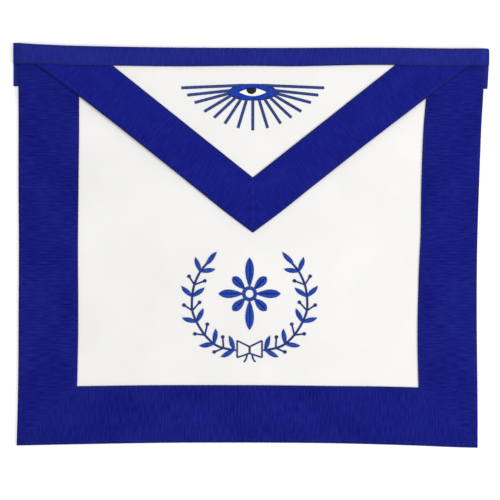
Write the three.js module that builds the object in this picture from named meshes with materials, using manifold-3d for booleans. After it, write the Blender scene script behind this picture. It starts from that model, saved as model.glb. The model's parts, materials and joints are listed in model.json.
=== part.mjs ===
// A white lodge apron with blue ribbon borders, laid flat and face up. Millimetres, +Z up, top edge towards +Y.
//
// The body is a panel of imitation leather. A ribbon is folded round each of its sides and its lower edge, and the
// ribbons meet in mitred corners. A triangular flap, bordered the same way, hangs from the top edge and lies on the
// body. One more ribbon, folded lengthwise, takes in both along the top as the waist band. The panels carry satin
// stitched motifs: an eye with rays on the flap, and a rosette in a wreath of two sprigs on the body.
import * as THREE from "three";
import { mergeVertices } from "three/addons/utils/BufferGeometryUtils.js";
import Module from "manifold-3d";

const wasm = await Module();
wasm.setup();

// Cloth and clearances
const leather = 1.0; // wall of both panels
const ribbon = 1.0; // wall of every ribbon
const thread = 0.8; // height of the satin stitching
const clear = 0.3; // gap between pieces that lie on each other
const seam = 0.4; // gap between two ribbons at a mitre

// Body
const bodyWidth = 406.4;
const bodyHeight = 353;
const sideRibbon = 53; // width that shows
const bottomRibbon = 51;
const hem = 12; // width turned under at the body's edges
const edgeStray = 3; // most that an edge strays from its straight line

// Waist band
const bandFront = 16.2; // height of the front leg
const bandBack = 36.5; // height of the back leg, which the body lies on
const bandOverhang = 6.1; // band past the body, both ends together halved
const bandShift = 1.65; // the band sits this far to the right of the body's middle
const bandTaper = 1.6; // length by which the back leg's right end draws in
const ramp = 20; // length over which the body climbs onto the back leg

// Flap
const flapDepth = 162.4; // from the body's top edge to the tip
const flapInset = 2.2; // the flap is this much narrower than half of the body where it is tucked into the band
const flapHalf = bodyWidth / 2 - flapInset;
const flapRibbon = 39.5;
const flapNarrow = 0.977; // width of both ribbons at the tip, as a share
const flapSpreadLeft = 1.048; // width of the left ribbon at the band
const flapSpreadRight = 1.023;
const flapHem = 8;
const flapShift = 3; // the tip sits this far to the right of the body's middle
const flapTuck = 9; // length of the flap that the band's front leg covers
const flapStray = 3.5;

// Motifs
const wreathReach = 51; // from the middle to the outermost stem
const wreathRise = 76.5; // from the bow's knot to the end of the stem
const wreathDrop = 92.5; // the knot lies this far below the body's middle
const motifShift = 0.2;
const stemWidth = 2.1;
const stalkWidth = 1.5;
const stalkLength = 8.9;
const berryRadius = 1.75;
const leafLength = 13.8;
const leafWidth = 4.1;
const bowLine = 1.5; // width of the bow's outline
const rosetteRise = 50; // middle of the rosette above the knot
const rosetteLong = 32; // upright petals, from the middle
const rosetteWide = 27.5; // level petals
const rosetteShort = 21; // slanting petals
const petalWidth = 7.4;
const rosetteRing = 6.6;
const rosetteHole = 3.6;
const eyeRise = 123.5; // middle of the eye above the flap's tip
const eyeWidth = 42;
const eyeHeight = 14.6;
const eyeOpenWidth = 24.6;
const eyeOpenHeight = 7.3;
const pupilRadius = 4.4;
const pupilRise = 2.3; // middle of the pupil, which the upper lid cuts off
const pupilAside = -1.2;
const rayReach = 62.5;
const rayWidth = 2.5;

// How each edge strays from its straight line and how wide its ribbon shows. "at" is the share of the way from the
// bottom or the left end, "out" a share of edgeStray towards +X or +Y, "wide" a share of the ribbon's width.
const leftEdge = [
  { at: 0, out: -0.57, wide: 0.98 },
  { at: 0.09, out: -0.27, wide: 0.98 },
  { at: 0.2, out: -0.06, wide: 0.987 },
  { at: 0.31, out: 0, wide: 0.994 },
  { at: 0.5, out: 0.1, wide: 0.984 },
  { at: 0.64, out: 0, wide: 0.998 },
  { at: 0.79, out: 0, wide: 1.008 },
  { at: 1, out: 0, wide: 1.01 },
];
const rightEdge = [
  { at: 0, out: -0.77, wide: 0.975 },
  { at: 0.09, out: -0.78, wide: 0.975 },
  { at: 0.22, out: -0.93, wide: 0.989 },
  { at: 0.31, out: -1.03, wide: 0.987 },
  { at: 0.44, out: -1.0, wide: 0.966 },
  { at: 0.53, out: -0.82, wide: 0.948 },
  { at: 0.64, out: -0.4, wide: 0.962 },
  { at: 0.79, out: 0.27, wide: 0.962 },
  { at: 0.89, out: 0.88, wide: 0.942 },
  { at: 1, out: 1.0, wide: 0.92 },
];
const bottomEdge = [
  { at: 0, out: 0.17, wide: 1.01 },
  { at: 0.13, out: 0.52, wide: 1.004 },
  { at: 0.29, out: 0.9, wide: 0.998 },
  { at: 0.42, out: 1.0, wide: 0.994 },
  { at: 0.55, out: 0.97, wide: 0.993 },
  { at: 0.67, out: 0.83, wide: 0.99 },
  { at: 0.78, out: 0.48, wide: 1.002 },
  { at: 0.87, out: 0.08, wide: 1.008 },
  { at: 0.94, out: -0.32, wide: 1.01 },
  { at: 1, out: -0.55, wide: 1.01 },
];
// The band's top edge, with the height of its front leg and of its back leg as shares.
const topEdge = [
  { at: 0, out: 0.57, wide: 1.14, back: 1.044 },
  { at: 0.04, out: 0.18, wide: 1.09, back: 1.04 },
  { at: 0.12, out: -0.27, wide: 1.07, back: 1.035 },
  { at: 0.23, out: -0.6, wide: 1.055, back: 1.03 },
  { at: 0.35, out: -0.82, wide: 1.045, back: 1.02 },
  { at: 0.5, out: -0.93, wide: 0.995, back: 1.01 },
  { at: 0.6, out: -0.93, wide: 1.02, back: 1.0 },
  { at: 0.76, out: -0.83, wide: 0.965, back: 0.99 },
  { at: 0.93, out: -1.08, wide: 0.96, back: 0.98 },
  { at: 1, out: -1.06, wide: 0.945, back: 0.975 },
];
// The flap's slanting edges, from the tip to the band: "out" is a share of flapStray away from the flap.
const flapLeftEdge = [
  { at: 0, out: 0 },
  { at: 0.125, out: 0.09 },
  { at: 0.24, out: -0.07 },
  { at: 0.35, out: -0.23 },
  { at: 0.58, out: -0.47 },
  { at: 0.69, out: -0.49 },
  { at: 0.8, out: -0.43 },
  { at: 0.9, out: -0.25 },
  { at: 1, out: -0.1 },
];
const flapRightEdge = [
  { at: 0, out: 0 },
  { at: 0.125, out: 0.15 },
  { at: 0.24, out: -0.01 },
  { at: 0.35, out: -0.09 },
  { at: 0.465, out: -0.2 },
  { at: 0.58, out: -0.2 },
  { at: 0.7, out: -0.15 },
  { at: 1, out: -0.12 },
];

// One sprig of the wreath, from the bow to its end: the stem's places as shares of wreathReach and wreathRise, what
// grows there in a pair, and how far in degrees the inner and the outer one lean from the stem.
const sprig = [
  { across: 0.235, up: 0.005 },
  { across: 0.256, up: 0.005, grows: "leaf", inner: 59, outer: 35 },
  { across: 0.461, up: 0.023, grows: "berry", inner: 71, outer: 38 },
  { across: 0.604, up: 0.073, grows: "leaf", inner: 59, outer: 40 },
  { across: 0.771, up: 0.179, grows: "berry", inner: 52, outer: 44 },
  { across: 0.908, up: 0.322, grows: "leaf", inner: 51, outer: 44 },
  { across: 0.988, up: 0.46, grows: "berry", inner: 52, outer: 46 },
  { across: 0.99, up: 0.613, grows: "leaf", inner: 47, outer: 48 },
  { across: 0.953, up: 0.757, grows: "berry", inner: 52, outer: 49 },
  { across: 0.855, up: 0.903, grows: "leaf", inner: 47, outer: 48 },
  { across: 0.739, up: 1 },
];

// Half of the rays: where each starts and ends, from the middle of the eye, as shares of rayReach.
const rays = [
  { fromX: 0.12, fromY: 0.098, toX: 1, toY: 0.061 },
  { fromX: 0.29, fromY: 0.026, toX: 0.92, toY: -0.041 },
  { fromX: 0.29, fromY: -0.006, toX: 0.816, toY: -0.146 },
  { fromX: 0.27, fromY: -0.026, toX: 0.683, toY: -0.272 },
  { fromX: 0.21, fromY: -0.045, toX: 0.541, toY: -0.355 },
  { fromX: 0.145, fromY: -0.066, toX: 0.392, toY: -0.44 },
  { fromX: 0.08, fromY: -0.08, toX: 0.208, toY: -0.501 },
  { fromX: 0, fromY: -0.08, toX: 0, toY: -0.538 },
];

const blueRibbon = new THREE.MeshStandardMaterial({ color: 0x1b2080, roughness: 0.75, metalness: 0 });
const whiteLeather = new THREE.MeshStandardMaterial({ color: 0xf3f2f0, roughness: 0.55, metalness: 0 });
const blueThread = new THREE.MeshStandardMaterial({ color: 0x1f48b4, roughness: 0.4, metalness: 0 });
const whiteThread = new THREE.MeshStandardMaterial({ color: 0xf6f5f2, roughness: 0.45, metalness: 0 });
const blackThread = new THREE.MeshStandardMaterial({ color: 0x15161a, roughness: 0.45, metalness: 0 });

// Tables and edges

// The value of one column of a table at a share of the way, smooth through the rows.
function read(table, share, column) {
  const s = THREE.MathUtils.clamp(share, table[0].at, table[table.length - 1].at);
  let i = 0;
  while (i < table.length - 2 && s > table[i + 1].at) i += 1;
  const [a, b] = [table[i], table[i + 1]];
  const before = table[Math.max(i - 1, 0)];
  const after = table[Math.min(i + 2, table.length - 1)];
  const span = b.at - a.at;
  const slopeA = ((b[column] - before[column]) / (b.at - before.at)) * span;
  const slopeB = ((after[column] - a[column]) / (after.at - a.at)) * span;
  const t = (s - a.at) / span;
  const curved = 2 * (a[column] - b[column]) + slopeA + slopeB;
  const bent = 3 * (b[column] - a[column]) - 2 * slopeA - slopeB;
  return ((curved * t + bent) * t + slopeA) * t + a[column];
}

const lerp = THREE.MathUtils.lerp;
const upShare = (y) => y / bodyHeight + 0.5;
const acrossShare = (x) => x / bodyWidth + 0.5;

const leftX = (y) => -bodyWidth / 2 + edgeStray * read(leftEdge, upShare(y), "out");
const rightX = (y) => bodyWidth / 2 + edgeStray * read(rightEdge, upShare(y), "out");
const bottomY = (x) => -bodyHeight / 2 + edgeStray * read(bottomEdge, acrossShare(x), "out");
const topY = (x) => bodyHeight / 2 + edgeStray * read(topEdge, acrossShare(x), "out");
const leftInnerX = (y) => leftX(y) + sideRibbon * read(leftEdge, upShare(y), "wide");
const rightInnerX = (y) => rightX(y) - sideRibbon * read(rightEdge, upShare(y), "wide");
const bottomInnerY = (x) => bottomY(x) + bottomRibbon * read(bottomEdge, acrossShare(x), "wide");
const frontY = (x) => topY(x) - bandFront * read(topEdge, acrossShare(x), "wide");
const backWidth = (x) => bandBack * read(topEdge, acrossShare(x), "back");

// The point where an upright edge and a level one cross.
function crossing(xOf, yOf, start) {
  const point = start.clone();
  for (let step = 0; step < 6; step += 1) {
    point.x = xOf(point.y);
    point.y = yOf(point.x);
  }
  return point;
}

const lowerLeft = crossing(leftX, bottomY, new THREE.Vector2(-bodyWidth / 2, -bodyHeight / 2));
const lowerRight = crossing(rightX, bottomY, new THREE.Vector2(bodyWidth / 2, -bodyHeight / 2));
const innerLeft = crossing(leftInnerX, bottomInnerY, lowerLeft);
const innerRight = crossing(rightInnerX, bottomInnerY, lowerRight);

// Levels

const sheetRise = leather + clear + ribbon; // a panel with its ribbon over it
const bandLift = ribbon + clear; // what the body climbs to lie on the band's back leg
const lowestBack = bodyHeight / 2 - edgeStray - bandBack; // lower edge of the back leg where it reaches lowest
const flapTip = bodyHeight / 2 - edgeStray - flapDepth;
const tipLevel = leather + clear; // the flap's tip lies on the panel
const borderLevel = bandLift + sheetRise + clear; // and its corners lie on the side ribbons
const flapTilt = Math.atan2(borderLevel - tipLevel, lowestBack - flapTip);
const tuckEnd = bodyHeight / 2 - edgeStray - bandFront + flapTuck;
const flapLength = (tuckEnd - flapTip) / Math.cos(flapTilt);
const flapUpper = tipLevel + Math.sin(flapTilt) * flapLength + Math.cos(flapTilt) * sheetRise;
const bandRise = flapUpper + clear + ribbon;
const insideBand = bandRise / 2 + ribbon; // the body and its ribbons stop this far short of the band's top edge

const lift = (y) => bandLift * THREE.MathUtils.smoothstep(y, lowestBack - ramp, lowestBack);

// Sheets and folded ribbons

// A closed sheet: a box with a fine grid, each of its points moved to place(u, v, w), where w is 0 below and 1 above.
function sheet(alongU, alongV, place) {
  const geometry = new THREE.BoxGeometry(1, 1, 1, alongU, alongV, 1);
  const position = geometry.attributes.position;
  const point = new THREE.Vector3();
  for (let i = 0; i < position.count; i += 1) {
    point.fromBufferAttribute(position, i).addScalar(0.5);
    position.setXYZ(i, ...place(point.x, point.y, point.z));
  }
  return facingOut(geometry);
}

// Turns the faces round if the points were placed mirrored.
function facingOut(geometry) {
  const [a, b, c] = [new THREE.Vector3(), new THREE.Vector3(), new THREE.Vector3()];
  const { position } = geometry.attributes;
  const index = geometry.index.array;
  let volume = 0;
  for (let i = 0; i < index.length; i += 3) {
    a.fromBufferAttribute(position, index[i]);
    b.fromBufferAttribute(position, index[i + 1]);
    c.fromBufferAttribute(position, index[i + 2]);
    volume += a.dot(b.cross(c));
  }
  if (volume < 0) index.reverse();
  geometry.computeVertexNormals();
  return geometry;
}

const underSteps = 2;
const foldSteps = 4;
const overSteps = 3;
const sectionSteps = underSteps + foldSteps + overSteps;

// A point of a ribbon's folded section: how far in from the fold it lies, and its height. The section runs from the
// free edge of the leg below, round the fold, to the free edge of the leg above. w is 0 inside the fold and 1 outside.
function folded(step, w, under, over, rise) {
  const radius = rise / 2;
  const wall = radius - ribbon * (1 - w);
  if (step <= underSteps) return [lerp(under, radius, step / underSteps), radius - wall];
  if (step >= underSteps + foldSteps) {
    const share = (step - underSteps - foldSteps) / overSteps;
    return [lerp(radius, over, share), radius + wall];
  }
  const turn = (Math.PI * (step - underSteps)) / foldSteps;
  return [radius - wall * Math.sin(turn), radius - wall * Math.cos(turn)];
}

// A ribbon folded along the edge "fold", with its upper leg reaching to the edge "inner" and its lower leg "under" wide.
function foldedRibbon({ steps, fold, inner, under, rise, raise = () => 0 }) {
  return sheet(steps, sectionSteps, (u, v, w) => {
    const [edge, reach] = [fold(u), inner(u)];
    const across = reach.clone().sub(edge);
    const width = across.length();
    const [inward, height] = folded(Math.round(v * sectionSteps), w, under(u), width, rise);
    const at = edge.addScaledVector(across, inward / width);
    return [at.x, at.y, height + raise(at.y)];
  });
}

function mesh(name, geometry, material) {
  const made = new THREE.Mesh(geometry, material);
  made.name = name;
  return made;
}

// Body

function bodyPanel() {
  const inset = hem + clear;
  const geometry = sheet(10, 20, (u, v, w) => {
    const yGuess = lerp(lowerLeft.y, bodyHeight / 2, v);
    const x = lerp(leftX(yGuess) + inset, rightX(yGuess) - inset, u);
    const y = lerp(bottomY(x) + inset, topY(x) - insideBand, v);
    return [x, y, leather * w + lift(y)];
  });
  return mesh("body_panel", geometry, whiteLeather);
}

function sideBorder(name, outerX, innerX, outerCorner, innerCorner) {
  const geometry = foldedRibbon({
    steps: 24,
    fold: (u) => {
      const y = lerp(outerCorner.y + seam, topY(outerCorner.x) - insideBand, u);
      return new THREE.Vector2(outerX(y), y);
    },
    inner: (u) => {
      const y = lerp(innerCorner.y + seam, topY(outerCorner.x) - insideBand, u);
      return new THREE.Vector2(innerX(y), y);
    },
    under: () => hem,
    rise: sheetRise,
    raise: lift,
  });
  return mesh(name, geometry, blueRibbon);
}

function bottomBorder() {
  const along = (from, to, yOf) => (u) => {
    const x = lerp(from.x + seam, to.x - seam, u);
    return new THREE.Vector2(x, yOf(x));
  };
  const geometry = foldedRibbon({
    steps: 24,
    fold: along(lowerLeft, lowerRight, bottomY),
    inner: along(innerLeft, innerRight, bottomInnerY),
    under: () => hem,
    rise: sheetRise,
  });
  return mesh("bottom_border", geometry, blueRibbon);
}

function waistBand() {
  const end = bodyWidth / 2 + bandOverhang;
  const x = (u) => bandShift + lerp(-end, end, u);
  const geometry = foldedRibbon({
    steps: 28,
    fold: (u) => new THREE.Vector2(x(u), topY(x(u))),
    inner: (u) => new THREE.Vector2(x(u), frontY(x(u))),
    under: (u) => backWidth(x(u)),
    rise: bandRise,
  });
  const position = geometry.attributes.position;
  for (let i = 0; i < position.count; i += 1) {
    const down = (bodyHeight / 2 - position.getY(i)) / bandBack;
    const across = THREE.MathUtils.smoothstep(position.getX(i), -bodyWidth / 2, bodyWidth / 2);
    position.setX(i, position.getX(i) - bandTaper * across * down * down);
  }
  return mesh("waist_band", geometry, blueRibbon);
}

// Flap, built level with its tip at the origin and then turned up to the band

const flapEnd = (side) => new THREE.Vector2(side * flapHalf, flapLength);
const flapSlope = flapEnd(1).normalize();
const mitre = (flapNarrow * flapRibbon) / flapSlope.x; // length of the seam at the tip

// A point of a slanting edge. "side" is -1 on the left and 1 on the right.
function flapEdge(side, share) {
  const table = side < 0 ? flapLeftEdge : flapRightEdge;
  const outward = new THREE.Vector2(side * flapSlope.y, -flapSlope.x);
  return flapEnd(side)
    .multiplyScalar(share)
    .addScaledVector(outward, flapStray * read(table, share, "out"));
}

// A point of the ribbon's inner edge, which is straight.
function flapInner(side, share) {
  const spread = side < 0 ? flapSpreadLeft : flapSpreadRight;
  const top = new THREE.Vector2(side * (flapHalf - (spread * flapRibbon) / flapSlope.y), flapLength);
  return new THREE.Vector2(0, mitre).lerp(top, share);
}

function flapPanel() {
  const inset = (flapHem + clear) / flapSlope.y;
  const blunt = (inset + flapHem) / flapHalf; // the panel ends where it is still this wide, under the ribbons
  const geometry = sheet(12, 10, (u, v, w) => {
    const share = lerp(blunt, 1, v);
    const left = flapEdge(-1, share);
    const right = flapEdge(1, share);
    left.x += inset;
    right.x -= inset;
    const at = left.lerp(right, u);
    return [at.x, at.y, leather * w];
  });
  return mesh("flap_panel", geometry, whiteLeather);
}

function flapBorder(name, side) {
  const aside = new THREE.Vector2((side * seam) / 2, 0);
  const geometry = foldedRibbon({
    steps: 18,
    fold: (u) => flapEdge(side, u).add(aside),
    inner: (u) => flapInner(side, u).add(aside),
    under: () => flapHem,
    rise: sheetRise,
  });
  return mesh(name, geometry, blueRibbon);
}

// Motifs: flat outlines, raised by the height of the stitching and joined into one solid

function solidOf(shape) {
  const geometry = new THREE.ExtrudeGeometry(shape, { depth: thread, bevelEnabled: false, curveSegments: 5 });
  geometry.deleteAttribute("normal");
  geometry.deleteAttribute("uv");
  const merged = mergeVertices(geometry, 1e-4);
  return new wasm.Manifold(
    new wasm.Mesh({
      numProp: 3,
      vertProperties: merged.attributes.position.array,
      triVerts: new Uint32Array(merged.index.array),
    }),
  );
}

function stitched(name, shapes, material, { without, within } = {}) {
  let solid = shapes.map(solidOf).reduce((whole, one) => whole.add(one));
  if (without) solid = solid.subtract(solidOf(without));
  if (within) solid = solid.intersect(solidOf(within));
  const made = solid.getMesh();
  const geometry = new THREE.BufferGeometry();
  geometry.setAttribute("position", new THREE.BufferAttribute(new Float32Array(made.vertProperties), 3));
  geometry.setIndex(new THREE.BufferAttribute(new Uint32Array(made.triVerts), 1));
  geometry.computeVertexNormals();
  return mesh(name, geometry, material);
}

// A band of stitching along a row of points.
function line(points, width) {
  const [left, right] = [[], []];
  points.forEach((point, i) => {
    const before = points[Math.max(i - 1, 0)];
    const after = points[Math.min(i + 1, points.length - 1)];
    const aside = after.clone().sub(before).normalize().rotateAround(new THREE.Vector2(), Math.PI / 2);
    left.push(point.clone().addScaledVector(aside, width / 2));
    right.unshift(point.clone().addScaledVector(aside, -width / 2));
  });
  return new THREE.Shape([...left, ...right]);
}

// A leaf or petal: two curves that meet in a point at each end, widest half way.
function leaf(from, to, width) {
  const middle = from.clone().lerp(to, 0.5);
  const aside = to.clone().sub(from).normalize().rotateAround(new THREE.Vector2(), Math.PI / 2);
  const [one, other] = [1, -1].map((side) => middle.clone().addScaledVector(aside, side * width));
  const shape = new THREE.Shape();
  shape.moveTo(from.x, from.y);
  shape.quadraticCurveTo(one.x, one.y, to.x, to.y);
  shape.quadraticCurveTo(other.x, other.y, from.x, from.y);
  return shape;
}

function almond(width, height) {
  return leaf(new THREE.Vector2(-width / 2, 0), new THREE.Vector2(width / 2, 0), height);
}

function oval(width, height) {
  return new THREE.Shape(new THREE.EllipseCurve(0, 0, width / 2, height / 2).getPoints(28).slice(1));
}

function disc(centre, radius) {
  return new THREE.Shape().absarc(centre.x, centre.y, radius, 0, 2 * Math.PI);
}

function wreathSprig(name, side) {
  const nodes = sprig.map((row) => new THREE.Vector2(side * wreathReach * row.across, wreathRise * row.up));
  const stem = new THREE.SplineCurve(nodes.slice(1));
  const shapes = [line(nodes.slice(0, 2), stalkWidth), line(stem.getPoints(3 * (nodes.length - 2)), stemWidth)];
  sprig.forEach((row, i) => {
    const onStem = nodes[i];
    const heading = stem.getTangent(Math.max(i - 1, 0) / (nodes.length - 2)).angle();
    const reach = (lean, length) =>
      new THREE.Vector2(length, 0).rotateAround(new THREE.Vector2(), heading + lean).add(onStem);
    if (!row.grows && i > 0) shapes.push(leaf(reach(Math.PI, stemWidth), reach(0, leafLength), leafWidth));
    if (!row.grows) return;
    [side * row.inner, -side * row.outer].map(THREE.MathUtils.degToRad).forEach((lean) => {
      if (row.grows === "leaf") shapes.push(leaf(onStem, reach(lean, leafLength), leafWidth));
      else {
        const berry = reach(lean, stalkLength);
        shapes.push(line([onStem, berry], stalkWidth), disc(berry, berryRadius));
      }
    });
  });
  return stitched(name, shapes, blueThread);
}

function wreathBow() {
  const wing = wreathReach * sprig[0].across - clear; // the outer end of a wing, just inside the first of the stem
  const wingTop = 0.71 * wing;
  const wingFoot = -0.56 * wing;
  const knot = 0.25 * wing;
  const shapes = [line([new THREE.Vector2(0, -knot), new THREE.Vector2(0, knot)], 1.2 * bowLine)];
  for (const side of [-1, 1]) {
    const outer = side * (wing - bowLine / 2);
    const loop = [
      new THREE.Vector2(0, knot),
      new THREE.Vector2(outer, wingTop),
      new THREE.Vector2(outer, wingFoot),
      new THREE.Vector2(0, -knot),
    ];
    for (let i = 0; i < loop.length - 1; i += 1) shapes.push(line([loop[i], loop[i + 1]], bowLine));
    shapes.push(disc(loop[1], bowLine / 2), disc(loop[2], bowLine / 2));
    const tail = new THREE.QuadraticBezierCurve(
      new THREE.Vector2(side * 0.18 * wing, -knot),
      new THREE.Vector2(side * 0.21 * wing, -0.72 * wing),
      new THREE.Vector2(side * 0.44 * wing, -0.9 * wing),
    );
    shapes.push(line(tail.getPoints(4), bowLine));
  }
  return stitched("wreath_bow", shapes, blueThread);
}

function rosette() {
  const petals = 8;
  const middle = new THREE.Vector2();
  const shapes = [disc(middle, rosetteRing)];
  for (let i = 0; i < petals; i += 1) {
    const turn = (2 * Math.PI * i) / petals;
    const length = i % 2 ? rosetteShort : i % 4 ? rosetteLong : rosetteWide;
    const heading = new THREE.Vector2(1, 0).rotateAround(new THREE.Vector2(), turn);
    const root = heading.clone().multiplyScalar((rosetteRing + rosetteHole) / 2);
    shapes.push(leaf(root, heading.multiplyScalar(length), petalWidth));
  }
  return stitched("rosette", shapes, blueThread, { without: disc(middle, rosetteHole) });
}

const pupilMiddle = new THREE.Vector2(pupilAside, pupilRise);
const white = almond(eyeOpenWidth - 6 * clear, eyeOpenHeight - 2 * clear);

function eyeOutline() {
  const shapes = [oval(eyeWidth, eyeHeight)];
  for (const row of rays)
    for (const side of row.toX ? [-1, 1] : [1]) {
      const from = new THREE.Vector2(side * row.fromX, row.fromY).multiplyScalar(rayReach);
      const to = new THREE.Vector2(side * row.toX, row.toY).multiplyScalar(rayReach);
      shapes.push(line([from, to], rayWidth));
    }
  return stitched("eye_with_rays", shapes, blueThread, { without: almond(eyeOpenWidth, eyeOpenHeight) });
}

function eyeWhite() {
  return stitched("eye_white", [white], whiteThread, { without: disc(pupilMiddle, pupilRadius) });
}

function eyePupil() {
  return stitched("eye_pupil", [disc(pupilMiddle, pupilRadius - clear)], blackThread, { within: white });
}

// Assembly

const body = new THREE.Group();
body.add(
  bodyPanel(),
  sideBorder("side_border_left", leftX, leftInnerX, lowerLeft, innerLeft),
  sideBorder("side_border_right", rightX, rightInnerX, lowerRight, innerRight),
  bottomBorder(),
  waistBand(),
);

const wreath = new THREE.Group();
wreath.position.set(motifShift, -wreathDrop, leather + clear);
const device = rosette();
device.position.y = rosetteRise;
wreath.add(wreathSprig("wreath_sprig_left", -1), wreathSprig("wreath_sprig_right", 1), wreathBow(), device);

const eye = new THREE.Group();
eye.position.set(0, eyeRise, leather + clear);
eye.add(eyeOutline(), eyeWhite(), eyePupil());

const flap = new THREE.Group();
flap.position.set(flapShift, flapTip, tipLevel);
flap.rotation.x = flapTilt;
flap.add(flapPanel(), flapBorder("flap_border_left", -1), flapBorder("flap_border_right", 1), eye);

// The origin is under the middle of the whole apron.
const apron = new THREE.Group();
apron.add(body, wreath, flap);
apron.updateMatrixWorld(true);
const extent = new THREE.Box3().setFromObject(apron, true);
const middle = extent.getCenter(new THREE.Vector3());
for (const group of [body, wreath, flap]) group.position.sub(new THREE.Vector3(middle.x, middle.y, extent.min.z));

export default apron;
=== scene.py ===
# %% [markdown]
# # A white lodge apron with blue ribbon borders
# The apron is made of flat goods: white leatherette, blue ribbon and embroidery thread. Each piece is built
# here the way a workroom makes it. A ribbon is laid out straight, folded round an edge and cut off at its
# mitre, and the embroidery is laid down stitch by stitch. The solid model gives the sizes, so it comes in
# first as a fixed frame.

# %% The solid model
import json
import math
import random

import bmesh
import bpy
from mathutils import Matrix, Vector, noise

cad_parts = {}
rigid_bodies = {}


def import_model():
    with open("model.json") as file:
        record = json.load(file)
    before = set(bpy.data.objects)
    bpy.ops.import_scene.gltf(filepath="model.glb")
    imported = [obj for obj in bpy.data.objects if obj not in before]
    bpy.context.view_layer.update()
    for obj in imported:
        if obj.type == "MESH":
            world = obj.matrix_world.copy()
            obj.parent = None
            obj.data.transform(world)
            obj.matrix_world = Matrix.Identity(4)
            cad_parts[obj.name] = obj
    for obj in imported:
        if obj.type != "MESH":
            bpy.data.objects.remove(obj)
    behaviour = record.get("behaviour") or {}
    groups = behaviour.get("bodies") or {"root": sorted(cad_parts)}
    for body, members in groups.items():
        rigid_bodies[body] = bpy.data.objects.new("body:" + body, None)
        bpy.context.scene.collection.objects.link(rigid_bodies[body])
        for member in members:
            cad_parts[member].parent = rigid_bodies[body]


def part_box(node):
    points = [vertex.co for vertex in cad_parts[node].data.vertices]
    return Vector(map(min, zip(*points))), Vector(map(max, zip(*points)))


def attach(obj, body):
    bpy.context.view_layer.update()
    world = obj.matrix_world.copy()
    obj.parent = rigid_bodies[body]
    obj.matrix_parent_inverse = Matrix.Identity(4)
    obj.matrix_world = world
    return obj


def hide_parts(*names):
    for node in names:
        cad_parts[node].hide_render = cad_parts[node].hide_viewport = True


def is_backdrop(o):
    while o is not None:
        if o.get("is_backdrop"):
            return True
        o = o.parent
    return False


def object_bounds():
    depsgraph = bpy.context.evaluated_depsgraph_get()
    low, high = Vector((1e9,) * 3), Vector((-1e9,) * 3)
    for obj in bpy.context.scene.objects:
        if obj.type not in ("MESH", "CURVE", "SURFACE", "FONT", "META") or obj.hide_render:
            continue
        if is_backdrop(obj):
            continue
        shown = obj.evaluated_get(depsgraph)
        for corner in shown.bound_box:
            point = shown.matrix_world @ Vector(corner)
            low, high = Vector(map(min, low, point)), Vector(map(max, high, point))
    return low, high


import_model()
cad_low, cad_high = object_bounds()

MM = 0.001
print("solid model, mm:", [round(side / MM, 1) for side in cad_high - cad_low])

# %% [markdown]
# ## Sizes
# These are the pattern's own sizes in millimetres, the same as those of the solid model. The body's middle is
# the origin of the pattern.

# %% Sizes
BODY_WIDTH, BODY_HEIGHT = 406.4, 353.0
SIDE_RIBBON, BOTTOM_RIBBON, HEM = 53.0, 51.0, 12.0
EDGE_STRAY = 3.0
BAND_FRONT, BAND_BACK, BAND_OVERHANG, BAND_SHIFT, BAND_TAPER = 16.2, 36.5, 6.1, 1.65, 1.6
RAMP = 20.0
FLAP_DEPTH, FLAP_HALF, FLAP_RIBBON, FLAP_HEM = 162.4, 201.0, 39.5, 8.0
FLAP_NARROW, FLAP_SPREAD = 0.977, {-1: 1.048, 1: 1.023}
FLAP_SHIFT, FLAP_TUCK, FLAP_STRAY = 3.0, 9.0, 3.5
WALL, CLEAR = 1.0, 0.3
print("body:", BODY_WIDTH, "x", BODY_HEIGHT, "mm, flap:", 2 * FLAP_HALF, "x", FLAP_DEPTH, "mm")

# %% [markdown]
# ## Edges
# The edges of real cloth are never quite straight. A short table for each edge says how far it strays and how
# wide its ribbon shows, at a few places along it, and a smooth curve runs through them. The places count from
# the left or from the bottom, and on the flap from its tip. A stray to the right or upwards counts as
# positive, and on the flap a stray outwards.

# %% Edges
# at: share of the way; out: share of the stray; wide and back: share of the front and the back leg's width
LEFT_EDGE = dict(
    at=(0, 0.09, 0.2, 0.31, 0.5, 0.64, 0.79, 1),
    out=(-0.57, -0.27, -0.06, 0, 0.1, 0, 0, 0),
    wide=(0.98, 0.98, 0.987, 0.994, 0.984, 0.998, 1.008, 1.01),
)
RIGHT_EDGE = dict(
    at=(0, 0.09, 0.22, 0.31, 0.44, 0.53, 0.64, 0.79, 0.89, 1),
    out=(-0.77, -0.78, -0.93, -1.03, -1.0, -0.82, -0.4, 0.27, 0.88, 1.0),
    wide=(0.975, 0.975, 0.989, 0.987, 0.966, 0.948, 0.962, 0.962, 0.942, 0.92),
)
BOTTOM_EDGE = dict(
    at=(0, 0.13, 0.29, 0.42, 0.55, 0.67, 0.78, 0.87, 0.94, 1),
    out=(0.17, 0.52, 0.9, 1.0, 0.97, 0.83, 0.48, 0.08, -0.32, -0.55),
    wide=(1.01, 1.004, 0.998, 0.994, 0.993, 0.99, 1.002, 1.008, 1.01, 1.01),
)
TOP_EDGE = dict(
    at=(0, 0.04, 0.12, 0.23, 0.35, 0.5, 0.6, 0.76, 0.93, 1),
    out=(0.57, 0.18, -0.27, -0.6, -0.82, -0.93, -0.93, -0.83, -1.08, -1.06),
    wide=(1.14, 1.09, 1.07, 1.055, 1.045, 0.995, 1.02, 0.965, 0.96, 0.945),
    back=(1.044, 1.04, 1.035, 1.03, 1.02, 1.01, 1.0, 0.99, 0.98, 0.975),
)
FLAP_LEFT_EDGE = dict(
    at=(0, 0.125, 0.24, 0.35, 0.58, 0.69, 0.8, 0.9, 1),
    out=(0, 0.09, -0.07, -0.23, -0.47, -0.49, -0.43, -0.25, -0.1),
)
FLAP_RIGHT_EDGE = dict(
    at=(0, 0.125, 0.24, 0.35, 0.465, 0.58, 0.7, 1),
    out=(0, 0.15, -0.01, -0.09, -0.2, -0.2, -0.15, -0.12),
)


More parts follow.
